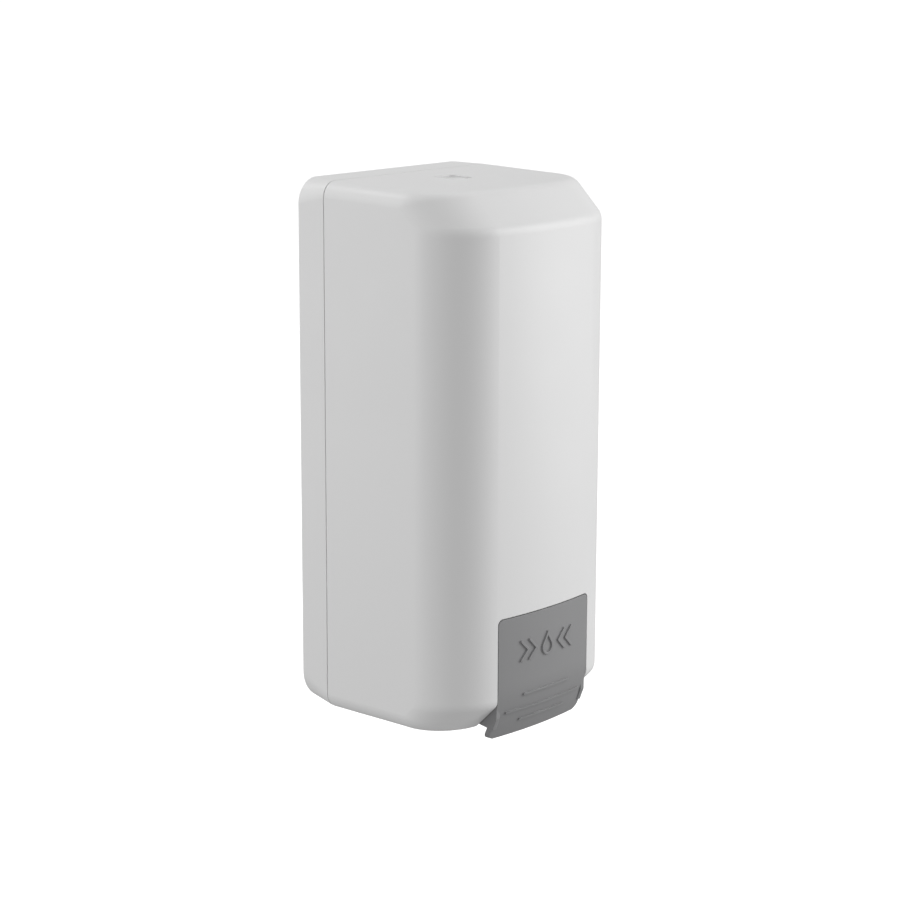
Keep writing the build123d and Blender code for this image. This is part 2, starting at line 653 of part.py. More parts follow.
def make_lever_pin():
    half = LEVER_W / 2 + PIVOT_BOSS_IN + PIVOT_BOSS_W
    with BuildPart() as lever_pin:
        with BuildSketch(on_x(-half - 2)):
            with Locations((PIVOT_Y, PIVOT_Z)):
                Circle(PIVOT_PIN_R)
        extrude(amount=2 * half + 4)
        chamfer(edges().filter_by(GeomType.CIRCLE), 0.3)
    finish(lever_pin, "lever_pin")
    with BuildPart() as pin_clips:
        for x in (-half - 0.1 - CLIP_T, half + 0.1):
            with BuildSketch(on_x(x)):
                with Locations((PIVOT_Y, PIVOT_Z)):
                    Circle(CLIP_R)
                    Circle(PIVOT_PIN_R + SEATED_FIT, mode=Mode.SUBTRACT)
                with Locations((PIVOT_Y + CLIP_R, PIVOT_Z)):
                    Rectangle(CLIP_R * 1.6, 1.6, mode=Mode.SUBTRACT)
            extrude(amount=CLIP_T)
    finish(pin_clips, "pin_clips")


BUTTON_FLANGE_TOP = WELL_FLOOR_TOP - WELL_FLOOR - BUTTON_STOP_GAP
BUTTON_FLANGE_BASE = BUTTON_FLANGE_TOP - BUTTON_FLANGE_T
HOOK_BASE = BUTTON_FLANGE_BASE - HOOK_T
CUP_FLOOR = CUP_BASE + CUP_BASE_T


def make_lock():
    cup = BUTTON_FLANGE + 2 * CUP_CLEARANCE
    ear_top = WELL_FLOOR_TOP - WELL_FLOOR
    with BuildPart() as lock_button:
        with BuildSketch(Plane.XY.offset(BUTTON_FLANGE_BASE)):
            with Locations((0, LOCK_Y)):
                RectangleRounded(BUTTON, BUTTON, 1)
        extrude(amount=BUTTON_TOP - BUTTON_FLANGE_BASE)
        fillet(faces().sort_by(Axis.Z)[-1].edges(), 0.6)
        with BuildSketch(Plane.XY.offset(BUTTON_FLANGE_BASE)):
            with Locations((0, LOCK_Y)):
                RectangleRounded(BUTTON_FLANGE, BUTTON_FLANGE, 1)
        extrude(amount=BUTTON_FLANGE_T)
        with BuildSketch(Plane.XY.offset(BUTTON_FLANGE_BASE - STEM_LEN)):
            with Locations((0, LOCK_Y)):
                Circle(LOCK_STEM_R)
        extrude(amount=STEM_LEN)
    finish(lock_button, "lock_button")

    with BuildPart() as latch_hook:
        with BuildSketch(Plane.XY.offset(HOOK_BASE)):
            with Locations((0, (LOCK_Y - BUTTON_FLANGE / 2 + 1 + HOOK_BACK) / 2)):
                Rectangle(HOOK_W, HOOK_BACK - LOCK_Y + BUTTON_FLANGE / 2 - 1)
            with Locations((0, LOCK_Y)):
                Circle(LOCK_STEM_R + SEATED_FIT, mode=Mode.SUBTRACT)
        extrude(amount=HOOK_T)
        with BuildSketch(Plane.XY.offset(HOOK_BASE)):
            with Locations((0, HOOK_BACK - TOOTH / 2)):
                Rectangle(HOOK_W, TOOTH)
        extrude(amount=STRIKER_LIP_END - TOOTH_GAP - HOOK_BASE)
        ridge = edges().filter_by(Axis.X).group_by(Axis.Z)[-1].sort_by(Axis.Y)[-1]
        chamfer(ridge, 1.5)
    finish(latch_hook, "latch_hook")

    with BuildPart() as lock_guide:
        with BuildSketch(Plane.XY.offset(CUP_BASE)):
            with Locations((0, LOCK_Y)):
                RectangleRounded(cup + 2 * CUP_WALL, cup + 2 * CUP_WALL, 1.5)
        extrude(amount=ear_top - CUP_BASE)
        with BuildSketch(Plane.XY.offset(ear_top - CUP_BASE_T)):
            with Locations((0, LOCK_Y)):
                RectangleRounded(WELL_FLANGE_W, HOOK_W, 3)
        extrude(amount=CUP_BASE_T)
        with BuildSketch(Plane.XY.offset(CUP_FLOOR)):
            with Locations((0, LOCK_Y)):
                Rectangle(cup, cup)
        extrude(amount=ear_top - CUP_FLOOR, mode=Mode.SUBTRACT)
        with BuildSketch(Plane.XY.offset(CUP_BASE)):
            with Locations((0, LOCK_Y)):
                Circle(LOCK_STEM_R + 0.4)
            with Locations((-EAR_X, LOCK_Y), (EAR_X, LOCK_Y)):
                Circle(SMALL_SCREW_R + SCREW_PLAY)
        extrude(amount=ear_top - CUP_BASE, mode=Mode.SUBTRACT)
        with BuildSketch(Plane.XZ.offset(-LOCK_Y - cup / 2 - CUP_WALL)):
            with Locations((0, (CUP_FLOOR + 4 + ear_top) / 2)):
                Rectangle(HOOK_W + 1.2, ear_top - CUP_FLOOR - 4)
        extrude(amount=CUP_WALL + 1, mode=Mode.SUBTRACT)
    finish(lock_guide, "lock_guide")

    with BuildPart() as guide_screws:
        for x in (-EAR_X, EAR_X):
            with BuildSketch(Plane.XY.offset(ear_top - CUP_BASE_T - SMALL_HEAD_T)):
                with Locations((x, LOCK_Y)):
                    Circle(SMALL_HEAD_R)
            extrude(amount=SMALL_HEAD_T)
            with BuildSketch(Plane.XY.offset(ear_top - CUP_BASE_T)):
                with Locations((x, LOCK_Y)):
                    Circle(SMALL_SCREW_R)
            extrude(amount=CUP_BASE_T + WELL_FLOOR - 0.1)
            with BuildSketch(Plane.XY.offset(ear_top - CUP_BASE_T - SMALL_HEAD_T)):
                with Locations((x, LOCK_Y)):
                    Rectangle(3, 0.7)
                    Rectangle(0.7, 3)
            extrude(amount=0.9, mode=Mode.SUBTRACT)
    finish(guide_screws, "guide_screws")

    coil(LOCK_SPRING_R, SPRING_WIRE, (0, LOCK_Y, CUP_FLOOR), (0, 0, 1), HOOK_BASE - CUP_FLOOR, 5, "lock_spring")


def coil(radius, wire, start, direction, length, turns, name):
    """A compression spring between two seats."""
    free = length - 2 * wire
    base = Vector(start) + Vector(direction) * wire
    with BuildPart() as spring:
        with BuildLine():
            path = Helix(pitch=free / turns, height=free, radius=radius, center=base, direction=direction)
        with BuildSketch(Plane(origin=path @ 0, z_dir=path % 0)):
            Circle(wire)
        sweep(path=path, is_frenet=True)
    finish(spring, name)


def make_striker():
    width, lip_w = STRIKER_W, STRIKER_LIP_W
    plate_face = -FLOOR - STRIKER_T
    with BuildPart() as striker:
        with BuildSketch(Plane.XZ.offset(FLOOR)):
            with Locations((0, (STRIKER_FOOT + STRIKER_TAB_TOP) / 2)):
                Rectangle(width, STRIKER_TAB_TOP - STRIKER_FOOT)
        extrude(amount=STRIKER_T)
        with BuildSketch(Plane.XY.offset(STRIKER_TAB_TOP - STRIKER_T)):
            with Locations((0, (plate_face + STRIKER_LIP[0]) / 2)):
                Rectangle(lip_w, plate_face - STRIKER_LIP[0])
        extrude(amount=STRIKER_T)
        with BuildSketch(Plane.XY.offset(STRIKER_LIP_END)):
            with Locations((0, sum(STRIKER_LIP) / 2)):
                Rectangle(lip_w, STRIKER_LIP[1] - STRIKER_LIP[0])
        extrude(amount=STRIKER_TAB_TOP - STRIKER_LIP_END)
        with BuildSketch(Plane.XZ.offset(FLOOR)):
            with Locations(*STRIKER_SCREWS):
                Circle(SMALL_SCREW_R + SCREW_PLAY)
        extrude(amount=STRIKER_T, mode=Mode.SUBTRACT)
    finish(striker, "striker")
    wall_screws(STRIKER_SCREWS, plate_face, SMALL_SCREW_R, SMALL_HEAD_R, SMALL_HEAD_T, "striker_screws")


def wall_screws(places, seat, radius, head_r, head_t, name):
    """Pan-head screws that run towards the wall from a seat."""
    with BuildPart() as screws:
        with BuildSketch(Plane.XZ.offset(1.4)):
            with Locations(*places):
                Circle(radius)
        extrude(amount=-seat - 1.4)
        with BuildSketch(Plane.XZ.offset(-seat)):
            with Locations(*places):
                Circle(head_r)
        extrude(amount=head_t)
        fillet(edges().filter_by(GeomType.CIRCLE).group_by(Axis.Y)[0], head_t * 0.4)
        with BuildSketch(Plane.XZ.offset(-seat + head_t / 2)):
            with Locations(*places):
                Rectangle(head_r * 1.1, head_r * 0.28)
                Rectangle(head_r * 0.28, head_r * 1.1)
        extrude(amount=head_t, mode=Mode.SUBTRACT)
    finish(screws, name)


def make_pump_bracket():
    shelf_base = TANK_BASE - SHELF_T
    slot_r = NECK_R + NECK_GAP
    with BuildPart() as pump_bracket:
        with BuildSketch(Plane.XY.offset(shelf_base)):
            with Locations((0, (BRACKET_BACK + SHELF_FRONT) / 2)):
                RectangleRounded(SHELF_W, BRACKET_BACK - SHELF_FRONT, 4)
            with Locations((0, PORT_Y)):
                Circle(slot_r, mode=Mode.SUBTRACT)
            with Locations((0, (PORT_Y + SHELF_FRONT - 2) / 2)):
                Rectangle(2 * slot_r, PORT_Y - SHELF_FRONT + 2, mode=Mode.SUBTRACT)
        extrude(amount=SHELF_T)
        with BuildSketch(Plane.XZ.offset(-BRACKET_BACK)):
            with Locations((0, (TANK_BASE + BRACKET_FOOT) / 2)):
                Rectangle(2 * GUSSET_X + GUSSET_T, TANK_BASE - BRACKET_FOOT)
        extrude(amount=SHELF_T)
        for x in (-GUSSET_X, GUSSET_X):
            with BuildSketch(on_x(x - GUSSET_T / 2)):
                with BuildLine():
                    Polyline((BRACKET_BACK - 1, shelf_base + 1), (GUSSET_FRONT, shelf_base + 1),
                             (BRACKET_BACK - 1, BRACKET_FOOT + 3), close=True)
                make_face()
            extrude(amount=GUSSET_T)
        with BuildSketch(Plane.XZ.offset(-BRACKET_BACK)):
            with Locations(*BRACKET_SCREWS):
                Circle(BRACKET_SCREW_R + SCREW_PLAY)
        extrude(amount=SHELF_T, mode=Mode.SUBTRACT)
    finish(pump_bracket, "pump_bracket")
    wall_screws(BRACKET_SCREWS, BRACKET_FACE, BRACKET_SCREW_R, HEAD_R, HEAD_T, "bracket_screws")


def tank_outline(z, inset):
    with BuildSketch(Plane.XY.offset(z)) as outline:
        with Locations((0, (TANK_BACK + TANK_FRONT) / 2)):
            RectangleRounded(TANK_W - 2 * inset, TANK_BACK - TANK_FRONT - 2 * inset, TANK_CORNER - inset)
    return outline.sketch


NUT_TOP = TANK_BASE - SHELF_T - 1
NUT_BASE = FLANGE_BASE - NUT_LIP
RIM = TANK_TOP + FILLER_H
LID_SEAT = RIM + SEAL_T
LID_TOP = LID_SEAT + LID_T


def make_reservoir_tank():
    filler = (0, FILLER_Y)
    with BuildPart() as reservoir_tank:
        extrude(tank_outline(TANK_BASE, 0), amount=TANK_TOP - TANK_BASE)
        fillet(faces().group_by(Axis.Z)[-1].edges(), TANK_EDGE_R)
        fillet(faces().group_by(Axis.Z)[0].edges(), TANK_EDGE_R)
        with BuildSketch(Plane.XY.offset(NECK_END)):
            with Locations((0, PORT_Y)):
                Circle(NECK_R)
        extrude(amount=NECK_LEN + 1)
        with BuildSketch(Plane.XY.offset(TANK_TOP - 1)):
            with Locations(filler):
                Circle(FILLER_R)
        extrude(amount=FILLER_H + 1)
        extrude(tank_outline(TANK_BASE + TANK_WALL, TANK_WALL),
                amount=TANK_TOP - TANK_BASE - 2 * TANK_WALL, mode=Mode.SUBTRACT)
        with BuildSketch(Plane.XY.offset(NECK_END)):
            with Locations((0, PORT_Y)):
                Circle(NECK_BORE_R)
        extrude(amount=NECK_LEN + TANK_WALL + 1, mode=Mode.SUBTRACT)
        with BuildSketch(Plane.XY.offset(TANK_TOP - TANK_WALL - 1)):
            with Locations(filler):
                Circle(FILLER_R - FILLER_WALL)
        extrude(amount=FILLER_H + TANK_WALL + 2, mode=Mode.SUBTRACT)
    finish(reservoir_tank, "reservoir_tank")

    with BuildPart() as lid_seal:
        with BuildSketch(Plane.XY.offset(RIM)):
            with Locations(filler):
                Circle(FILLER_R - 0.1)
                Circle(FILLER_R - FILLER_WALL + 0.1, mode=Mode.SUBTRACT)
        extrude(amount=SEAL_T - 0.02)
    finish(lid_seal, "lid_seal")

    with BuildPart() as tank_lid:
        with BuildSketch(Plane.XY.offset(LID_TOP - LID_SKIRT)):
            with Locations(filler):
                Circle(FILLER_R + LID_RUN + LID_WALL)
        extrude(amount=LID_SKIRT)
        fillet(edges().filter_by(GeomType.CIRCLE).group_by(Axis.Z)[-1], 1.2)
        with BuildSketch(Plane.XY.offset(LID_TOP - LID_SKIRT)):
            with Locations(filler):
                Circle(FILLER_R + LID_RUN)
        extrude(amount=LID_SEAT - LID_TOP + LID_SKIRT, mode=Mode.SUBTRACT)
        with BuildSketch(Plane.XY.offset(LID_TOP - 0.5)):
            with Locations(filler):
                SlotOverall(GRIP[0], GRIP[1])
        extrude(amount=GRIP[2] + 0.5)
    finish(tank_lid, "tank_lid")


def make_neck_joint():
    centre = (0, PORT_Y)
    with BuildPart() as neck_gasket:
        with BuildSketch(Plane.XY.offset(FLANGE_TOP)):
            with Locations(centre):
                Circle(FLANGE_R - 0.2)
                Circle(STEM_R - 3, mode=Mode.SUBTRACT)
        extrude(amount=GASKET_T)
    finish(neck_gasket, "neck_gasket")
    with BuildPart() as collar_nut:
        with BuildSketch(Plane.XY.offset(NUT_BASE)):
            with Locations(centre):
                Circle(NUT_R)
            with Locations(Location((0, PORT_Y, 0))):
                with PolarLocations(NUT_R, NUT_RIBS):
                    Circle(0.9)
        extrude(amount=NUT_TOP - NUT_BASE)
        with BuildSketch(Plane.XY.offset(FLANGE_BASE)):
            with Locations(centre):
                Circle(NECK_R + 0.05)
        extrude(amount=NUT_TOP - FLANGE_BASE, mode=Mode.SUBTRACT)
        with BuildSketch(Plane.XY.offset(NUT_BASE)):
            with Locations(centre):
                Circle(STEM_R + 0.3)
        extrude(amount=NUT_LIP, mode=Mode.SUBTRACT)
    finish(collar_nut, "collar_nut")


BALL_Z = BALL_SEAT - sqrt(BALL_R ** 2 - SEAT_R ** 2) - 0.3
CAGE_R = 1.2
CAGE_TOP = BALL_Z - sqrt(BALL_R ** 2 - CAGE_R ** 2)


def make_pump():
    along_y = Plane.XZ.offset(-PUMP_BACK)
    with BuildPart() as pump_body:
        with BuildSketch(along_y):
            with Locations((0, PUMP_Z)):
                Circle(PUMP_R)
        extrude(amount=PUMP_BACK - PUMP_FRONT)
        with BuildSketch(Plane.XY.offset(PUMP_Z)):
            with Locations((0, PORT_Y)):
                Circle(STEM_R)
        extrude(amount=FLANGE_TOP - PUMP_Z)
        with BuildSketch(Plane.XY.offset(FLANGE_BASE)):
            with Locations((0, PORT_Y)):
                Circle(FLANGE_R)
        extrude(amount=FLANGE_T)
        with BuildSketch(Plane.XY.offset(SPOUT_END)):
            with Locations((0, PORT_Y)):
                Circle(SPOUT_R)
        extrude(amount=PUMP_Z - SPOUT_END)
        with BuildSketch(Plane.XZ.offset(-BORE_END)):
            with Locations((0, PUMP_Z)):
                Circle(BORE_R)
        extrude(amount=BORE_END - PUMP_FRONT, mode=Mode.SUBTRACT)
        with BuildSketch(Plane.XY.offset(PUMP_Z)):
            with Locations((0, PORT_Y)):
                Circle(BALL_BORE_R)
        extrude(amount=BALL_SEAT - PUMP_Z, mode=Mode.SUBTRACT)
        with BuildSketch(Plane.XY.offset(BALL_SEAT - 1)):
            with Locations((0, PORT_Y)):
                Circle(SEAT_R)
        extrude(amount=SEAT_DEPTH + 2, mode=Mode.SUBTRACT)
        with BuildSketch(Plane.XY.offset(SPOUT_END)):
            with Locations((0, PORT_Y)):
                Circle(SPOUT_HOLE_R)
        extrude(amount=PUMP_Z - SPOUT_END, mode=Mode.SUBTRACT)
    finish(pump_body, "pump_body")

    with BuildPart() as inlet_ball:
        with Locations((0, PORT_Y, BALL_Z)):
            Sphere(BALL_R)
    finish(inlet_ball, "inlet_ball")

    with BuildPart() as ball_cage:
        with BuildSketch(Plane.XY.offset(BORE_TOP + 0.2)):
            with Locations((0, PORT_Y)):
                Circle(BALL_BORE_R - SEATED_FIT)
                Circle(CAGE_R, mode=Mode.SUBTRACT)
                with PolarLocations(2.6, 4):
                    Circle(0.6, mode=Mode.SUBTRACT)
        extrude(amount=CAGE_TOP - BORE_TOP - 0.2)
    finish(ball_cage, "ball_cage")

    piston_front = PUMP_FRONT + PAD_GAP
    piston_back = piston_front + PISTON_LEN
    groove = (piston_front + piston_back) / 2
    nose = -DEPTH + LEVER_PLATE - 0.5 + PAD_R + PAD_GAP
    with BuildPart() as piston:
        with BuildSketch(Plane.XZ.offset(-piston_back)):
            with Locations((0, PUMP_Z)):
                Circle(BORE_R - PISTON_FIT)
        extrude(amount=PISTON_LEN)
        with BuildSketch(Plane.XZ.offset(-piston_front)):
            with Locations((0, PUMP_Z)):
                Circle(ROD_R)
        extrude(amount=piston_front - nose)
        fillet(edges().filter_by(GeomType.CIRCLE).group_by(Axis.Y)[0], 1.5)
        with BuildSketch(Plane.XZ.offset(-groove - 1.0)):
            with Locations((0, PUMP_Z)):
                Circle(BORE_R)
                Circle(BORE_R - 1.9, mode=Mode.SUBTRACT)
        extrude(amount=2.0, mode=Mode.SUBTRACT)
    finish(piston, "piston")

    with BuildPart() as piston_seal:
        with BuildSketch(on_x(0)):
            with Locations((groove, PUMP_Z + BORE_R - PISTON_FIT - 0.9)):
                Circle(0.88)
        revolve(axis=Axis((0, 0, PUMP_Z), (0, 1, 0)), revolution_arc=360)
    finish(piston_seal, "piston_seal")

    coil(PUMP_SPRING_R, PUMP_SPRING_WIRE, (0, BORE_END, PUMP_Z), (0, -1, 0),
         BORE_END - piston_back, 6, "pump_spring")

    with BuildPart() as pump_cap:
        with BuildSketch(Plane.XZ.offset(-PUMP_FRONT - CAP_SKIRT)):
            with Locations((0, PUMP_Z)):
                Circle(CAP_R)
        extrude(amount=CAP_SKIRT + CAP_END)
        with BuildSketch(Plane.XZ.offset(-PUMP_FRONT - CAP_SKIRT)):
            with Locations((0, PUMP_Z)):
                Circle(PUMP_R + SEATED_FIT)
        extrude(amount=CAP_SKIRT, mode=Mode.SUBTRACT)
        with BuildSketch(Plane.XZ.offset(-PUMP_FRONT)):
            with Locations((0, PUMP_Z)):
                Circle(ROD_R + 0.3)
        extrude(amount=CAP_END, mode=Mode.SUBTRACT)
    finish(pump_cap, "pump_cap")


def make_nozzle():
    centre = (0, PORT_Y)
    shoulder = SPOUT_END - VALVE_FLANGE
    with BuildPart() as outlet_valve:
        with BuildSketch(Plane.XY.offset(shoulder)):
            with Locations(centre):
                Circle(SPOUT_R - 0.2)
        extrude(amount=VALVE_FLANGE)
        with BuildSketch(Plane.XY.offset(shoulder)):
            with Locations(centre):
                Circle(3.6)
        extrude(amount=-5)
        with BuildSketch(on_x(-4)):
            for side in (-1, 1):
                with BuildLine():
                    Polyline((PORT_Y + side * 3.7, shoulder - 0.5), (PORT_Y + side * 3.7, shoulder - 6),
                             (PORT_Y + side * 0.7, shoulder - 6), (PORT_Y + side * 0.7, shoulder - 5), close=True)
                make_face()
        extrude(amount=8, mode=Mode.SUBTRACT)
        with BuildSketch(Plane.XY.offset(shoulder - 1.5)):
            with Locations(centre):
                Circle(1.8)
        extrude(amount=VALVE_FLANGE + 1.5, mode=Mode.SUBTRACT)
    finish(outlet_valve, "outlet_valve")

    with BuildPart() as nozzle:
        with BuildSketch(Plane.XY.offset(NOZZLE_TIP)) as tip:
            with Locations(centre):
                Circle(NOZZLE_MOUTH_R + 1.6)
        with BuildSketch(Plane.XY.offset(shoulder)) as root:
            with Locations(centre):
                Circle(NOZZLE_R)
        loft([tip.sketch, root.sketch])
        with BuildSketch(Plane.XY.offset(shoulder)):
            with Locations(centre):
                Circle(NOZZLE_R)
        extrude(amount=NOZZLE_TOP - shoulder)
        with BuildSketch(Plane.XY.offset(shoulder)):
            with Locations(centre):
                Circle(SPOUT_R + SEATED_FIT)
        extrude(amount=NOZZLE_TOP - shoulder, mode=Mode.SUBTRACT)
        with BuildSketch(Plane.XY.offset(NOZZLE_TIP)) as mouth:
            with Locations(centre):
                Circle(NOZZLE_MOUTH_R)
        with BuildSketch(Plane.XY.offset(shoulder)) as throat:
            with Locations(centre):
                Circle(NOZZLE_BORE_R)
        loft([mouth.sketch, throat.sketch], mode=Mode.SUBTRACT)
    finish(nozzle, "nozzle")


os.makedirs("parts", exist_ok=True)
make_back_plate()
make_front_cover()
make_hinge_pins()
make_push_lever()
make_lever_pin()
make_lock()
make_striker()
make_pump_bracket()
make_reservoir_tank()
make_neck_joint()
make_pump()
make_nozzle()
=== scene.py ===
import json
import math

import bmesh
import bpy
from mathutils import Matrix, Vector


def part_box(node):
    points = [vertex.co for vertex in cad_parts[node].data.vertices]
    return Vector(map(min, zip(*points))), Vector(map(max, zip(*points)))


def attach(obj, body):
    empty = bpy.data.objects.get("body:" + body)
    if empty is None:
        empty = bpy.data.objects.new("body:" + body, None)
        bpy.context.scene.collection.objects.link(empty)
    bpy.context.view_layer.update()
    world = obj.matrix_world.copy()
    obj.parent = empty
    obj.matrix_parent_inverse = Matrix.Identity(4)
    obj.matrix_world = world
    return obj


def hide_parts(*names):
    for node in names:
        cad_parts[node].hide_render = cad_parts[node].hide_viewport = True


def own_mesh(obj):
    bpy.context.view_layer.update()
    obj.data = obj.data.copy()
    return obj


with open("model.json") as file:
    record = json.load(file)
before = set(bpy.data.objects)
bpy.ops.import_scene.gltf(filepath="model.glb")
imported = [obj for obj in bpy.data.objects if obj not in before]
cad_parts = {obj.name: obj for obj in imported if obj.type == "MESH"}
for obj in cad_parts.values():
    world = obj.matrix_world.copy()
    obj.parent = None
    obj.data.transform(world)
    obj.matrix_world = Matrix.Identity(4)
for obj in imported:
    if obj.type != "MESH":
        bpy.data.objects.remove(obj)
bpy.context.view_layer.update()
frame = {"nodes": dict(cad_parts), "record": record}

# ---- camera: the photograph's viewing angle ------------------------------------------
CAMERA_AZIMUTH = 48.26          # degrees from straight in front, towards -X
CAMERA_ELEVATION = 12.39
CAMERA_ROLL = 0.15
CAMERA_DISTANCE = 1.26269
CAMERA_SHIFT = (-0.0079, -0.00394)
AIM = Vector((0, -0.055, 0))
LENS = 99.46
SENSOR = 36
FAR_CLIP = 50


def make_camera():
    az, el, roll = (math.radians(a) for a in (CAMERA_AZIMUTH, CAMERA_ELEVATION, CAMERA_ROLL))
    back = Vector((-math.sin(az) * math.cos(el), -math.cos(az) * math.cos(el), math.sin(el)))
    right = Vector((math.cos(az), -math.sin(az), 0))
    up = back.cross(right)
    level = right * math.cos(roll) + up * math.sin(roll)
    upright = up * math.cos(roll) - right * math.sin(roll)
    place = AIM + right * CAMERA_SHIFT[0] + up * CAMERA_SHIFT[1] + back * CAMERA_DISTANCE
    data = bpy.data.cameras.new("camera")
    data.lens = LENS
    data.sensor_width = SENSOR
    data.clip_end = FAR_CLIP
    camera = bpy.data.objects.new("camera", data)
    camera.matrix_world = Matrix.Translation(place) @ Matrix((level, upright, back)).transposed().to_4x4()
    bpy.context.scene.collection.objects.link(camera)
    bpy.context.scene.camera = camera
    return back


CAMERA_BACK = make_camera()


# ---- studio --------------------------------------------------------------------------
FLOOR_Z = -0.32
FLOOR_SIZE = 12
FLOOR_GLOW = 0.6
SKY = 0.57                      # light from above, and from below
GROUND = 0.37
SKY_BAND = 0.6                  # sine of the angle above and below level where one turns into the other
BACKDROP = 1.05                 # what the camera sees behind the object
LIGHT_DISTANCE = 1.6
WHITE = (1, 1, 1, 1)


def make_world():
    """Even light that is stronger from above, before a white backdrop that only the camera sees."""
    world = bpy.data.worlds.new("studio")
    world.use_nodes = True
    tree = world.node_tree
    tree.nodes.clear()
    out = tree.nodes.new("ShaderNodeOutputWorld")
    coords = tree.nodes.new("ShaderNodeTexCoord")
    split = tree.nodes.new("ShaderNodeSeparateXYZ")
    ramp = tree.nodes.new("ShaderNodeMapRange")
    ramp.interpolation_type = "SMOOTHSTEP"
    ramp.inputs["From Min"].default_value = -SKY_BAND
    ramp.inputs["From Max"].default_value = SKY_BAND
    ramp.inputs["To Min"].default_value = GROUND
    ramp.inputs["To Max"].default_value = SKY
    light = tree.nodes.new("ShaderNodeBackground")
    light.inputs["Color"].default_value = WHITE
    white = tree.nodes.new("ShaderNodeBackground")
    white.inputs["Color"].default_value = WHITE
    white.inputs["Strength"].default_value = BACKDROP
    path = tree.nodes.new("ShaderNodeLightPath")
    mix = tree.nodes.new("ShaderNodeMixShader")
    link = tree.links.new
    link(coords.outputs["Generated"], split.inputs[0])
    link(split.outputs["Z"], ramp.inputs["Value"])
    link(ramp.outputs["Result"], light.inputs["Strength"])
    link(path.outputs["Is Camera Ray"], mix.inputs[0])
    link(light.outputs[0], mix.inputs[1])
    link(white.outputs[0], mix.inputs[2])
    link(mix.outputs[0], out.inputs["Surface"])
    bpy.context.scene.world = world


def make_light(name, turn, rise, size, power):
    """An area light turned round the object from the camera's side, aimed at the object's middle."""
    level = Vector((CAMERA_BACK.x, CAMERA_BACK.y, 0)).normalized()
    towards = Matrix.Rotation(math.radians(turn), 3, "Z") @ level
    towards = towards * math.cos(math.radians(rise)) + Vector((0, 0, math.sin(math.radians(rise))))
    data = bpy.data.lights.new(name, "AREA")
    data.shape = "RECTANGLE"
    data.size, data.size_y = size
    data.energy = power
    lamp = bpy.data.objects.new(name, data)
    position = Matrix.Translation(AIM + towards * LIGHT_DISTANCE)
    lamp.matrix_world = position @ towards.to_track_quat("Z", "Y").to_matrix().to_4x4()
    bpy.context.scene.collection.objects.link(lamp)


def make_floor():
    bpy.ops.mesh.primitive_plane_add(size=FLOOR_SIZE, location=(0, 0, FLOOR_Z))
    floor = bpy.context.object
    floor.name = "studio_floor"
    material = bpy.data.materials.new("floor_paint")
    material.use_nodes = True
    shader = material.node_tree.nodes["Principled BSDF"]
    shader.inputs["Base Color"].default_value = (0.9, 0.9, 0.9, 1)
    shader.inputs["Roughness"].default_value = 0.8
    shader.inputs["Emission Color"].default_value = WHITE
    shader.inputs["Emission Strength"].default_value = FLOOR_GLOW
    floor.data.materials.append(material)
    floor.visible_diffuse = False
    floor.visible_glossy = False


make_world()
make_light("left_soft", turn=-87, rise=10, size=(0.8, 1.5), power=6.6)
make_light("right_soft", turn=96, rise=12, size=(0.9, 1.5), power=13.6)
make_light("rim_soft", turn=-113, rise=47, size=(0.5, 0.5), power=3.0)
make_floor()
bpy.context.scene.view_settings.view_transform = "Standard"


# ---- materials -----------------------------------------------------------------------
EDGE_RADIUS = 0.0005
EDGE_SAMPLES = 4
FLAT_AGREEMENT = 0.99           # cosine between rounded and true normal: a flat face, and a full edge: worn, and painted paler as a highlight
EDGE_AGREEMENT = 0.80
WORN_GLOSS = 0.12               # how much smoother a rubbed edge is
LEAST_WEAR_AND_HIGHLIGHT = 0.3                # share of the edge wear and painted edge highlight that the least marked patches of an edge have
FLOW = (9.0, 5.0)               # noise cells to a metre, and detail: faint flow marks
PATCHES = (60.0, 4.0)           # where an edge is worn, and painted paler as a highlight, more or less
SCUFFS = (25.0, 6.0)
GRAIN_DETAIL = 3.0
GRAIN_DEPTH = 0.0002
BRUSH_MARKS = (3.0, 4.0)
BRUSH_DEPTH = 0.0001
METAL_SWING = 0.08
NOISE_SPREAD = (0.3, 0.7)       # what most values of a noise lie between
PATCH_SPREAD = (0.35, 0.65)
SCUFF_SPREAD = (0.4, 0.7)
SUBSURFACE_DEPTH = (0.004, 0.004, 0.004)


def start_material(name):
    material = bpy.data.materials.new(name)
    material.use_nodes = True
    tree = material.node_tree
    return material, tree, tree.nodes["Principled BSDF"]


def ranged(tree, value, low, high, to_low, to_high):
    """A value stretched from one range to another, and held at its ends."""
    node = tree.nodes.new("ShaderNodeMapRange")
    node.inputs["From Min"].default_value = low
    node.inputs["From Max"].default_value = high
    node.inputs["To Min"].default_value = to_low
    node.inputs["To Max"].default_value = to_high
    tree.links.new(value, node.inputs["Value"])
    return node.outputs["Result"]


def noise(tree, vector, scale, detail):
    node = tree.nodes.new("ShaderNodeTexNoise")
    node.inputs["Scale"].default_value = scale
    node.inputs["Detail"].default_value = detail
    tree.links.new(vector, node.inputs["Vector"])
    return node.outputs["Fac"]


def arithmetic(tree, operation, first, second):
    """Two values joined by a sum; the second may be a plain number."""
    node = tree.nodes.new("ShaderNodeMath")
    node.operation = operation
    tree.links.new(first, node.inputs[0])
    if isinstance(second, float):
        node.inputs[1].default_value = second
    else:
        tree.links.new(second, node.inputs[1])
    return node.outputs[0]


